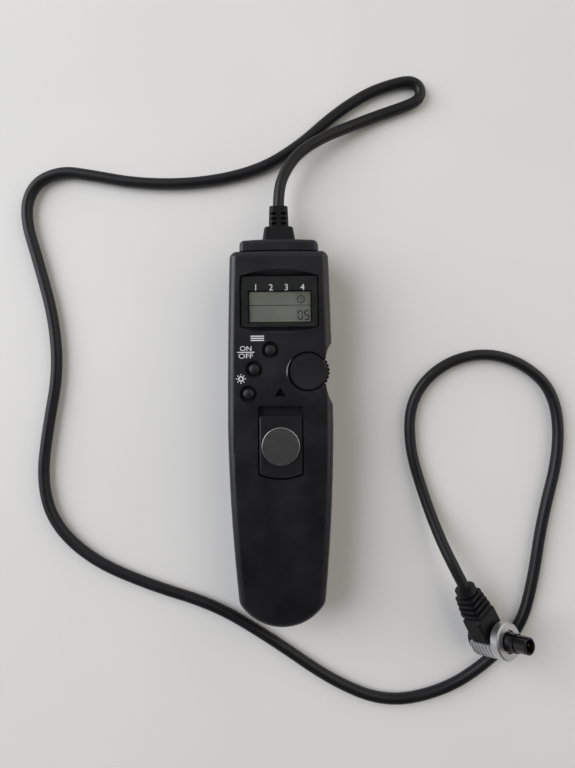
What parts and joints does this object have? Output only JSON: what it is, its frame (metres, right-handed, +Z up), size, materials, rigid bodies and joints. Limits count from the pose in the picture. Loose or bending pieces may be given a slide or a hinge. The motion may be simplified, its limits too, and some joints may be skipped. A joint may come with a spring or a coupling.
{
  "type": "timer remote release with cable",
  "caption": "Handheld timer release for a camera: display, press buttons, side dial, locking release button, and a cable with strain relief to an angled quick-lock plug.",
  "frame": {"origin": "middle of the handset's flat back, on the surface that it lies on", "axes": "+Z up out of the face with the display, +Y along the handset towards the cable, +X to the right of the display"},
  "size_m": [0.2005, 0.2334, 0.0227],
  "materials": {
    "casing_plastic": "satin moulded ABS, black",
    "button_plastic": "satin moulded ABS, black",
    "clear_window": "clear acrylic with a smoky tint",
    "display_cell": "grey-green liquid crystal cell",
    "inner_plastic": "natural moulded ABS",
    "light_guide": "milky acrylic",
    "rubber_strip": "silicone rubber",
    "circuit_board": "green solder mask on glass-fibre board",
    "chip_plastic": "black moulded epoxy",
    "steel": "bright rolled steel",
    "blackened_steel": "blackened screw steel",
    "contact_metal": "gold-plated spring brass",
    "release_metal": "dark grey satin disc",
    "collar_metal": "satin anodised aluminium",
    "sleeve_metal": "nickel-plated brass",
    "cable_rubber": "soft black PVC, slightly glossy",
    "boot_rubber": "moulded black PVC",
    "wire_insulation": "coloured PVC insulation"
  },
  "bodies": {
    "casing": {"front_shell": "casing_plastic", "rear_shell": "casing_plastic", "top_cap": "casing_plastic", "battery_cover": "casing_plastic", "strain_relief": "boot_rubber", "display_window": "clear_window", "lcd_panel": "display_cell", "lcd_holder": "inner_plastic", "backlight_plate": "light_guide", "contact_strips": "rubber_strip", "main_board": "circuit_board", "controller_chip": "chip_plastic", "timing_crystal": "steel", "board_screws": "steel", "housing_screws": "blackened_steel", "battery_cover_screw": "blackened_steel", "coin_cell": "steel", "battery_contact_negative": "contact_metal", "battery_contact_positive": "contact_metal", "mode_dome": "steel", "start_stop_dome": "steel", "light_dome": "steel", "dial_spring": "steel", "dial_press_switch": "chip_plastic", "contact_block": "inner_plastic", "common_contact": "contact_metal", "half_press_contact": "contact_metal", "full_press_contact": "contact_metal", "cable_tail": "cable_rubber", "cable_leads": "wire_insulation", "cable_connector": "inner_plastic", "cable": "cable_rubber", "plug_boot": "boot_rubber", "plug_post": "chip_plastic", "plug_sleeve": "sleeve_metal", "plug_pins": "contact_metal", "collar_spring": "steel"},
    "mode_key": {"mode_button": "button_plastic"},
    "start_stop_key": {"start_stop_button": "button_plastic"},
    "light_key": {"light_button": "button_plastic"},
    "dial_cradle": {"dial_carrier": "inner_plastic", "dial_axle": "steel", "encoder_wiper": "contact_metal"},
    "dial": {"dial_wheel": "button_plastic", "encoder_disc": "contact_metal"},
    "lock": {"lock_slider": "inner_plastic"},
    "release": {"release_plate": "button_plastic", "release_disc": "release_metal"},
    "collar": {"plug_collar": "collar_metal"}
  },
  "joints": [
    {"name": "mode_press", "type": "slide", "parent": "casing", "child": "mode_key", "axis": [0, 0, -1], "range_m": [0, 0.0006], "stiffness_N_per_m": 250, "springref_m": -0.0008, "deforming": ["mode_dome"]},
    {"name": "start_stop_press", "type": "slide", "parent": "casing", "child": "start_stop_key", "axis": [0, 0, -1], "range_m": [0, 0.0006], "stiffness_N_per_m": 250, "springref_m": -0.0008, "deforming": ["start_stop_dome"]},
    {"name": "light_press", "type": "slide", "parent": "casing", "child": "light_key", "axis": [0, 0, -1], "range_m": [0, 0.0006], "stiffness_N_per_m": 250, "springref_m": -0.0008, "deforming": ["light_dome"]},
    {"name": "dial_press", "type": "slide", "parent": "casing", "child": "dial_cradle", "axis": [-1, 0, 0], "range_m": [0, 0.0004], "stiffness_N_per_m": 300, "springref_m": -0.001, "deforming": ["dial_spring"]},
    {"name": "dial_spin", "type": "hinge", "parent": "dial_cradle", "child": "dial", "pos_m": [0.0097, 0.021, 0.0149], "axis": [0, 0, 1], "continuous": true},
    {"name": "release_lock", "type": "slide", "parent": "casing", "child": "lock", "axis": [0, 1, 0], "range_m": [0, 0.003]},
    {"name": "release_press", "type": "slide", "parent": "lock", "child": "release", "axis": [0, 0, -1], "range_m": [0, 0.0012], "stiffness_N_per_m": 400, "springref_m": -0.001, "deforming": ["common_contact", "half_press_contact", "full_press_contact"]},
    {"name": "collar_slide", "type": "slide", "parent": "casing", "child": "collar", "axis": [-0.5265, -0.1885, -0.829], "range_m": [0, 0.001], "stiffness_N_per_m": 400, "springref_m": -0.002, "deforming": ["collar_spring"]}
  ]
}
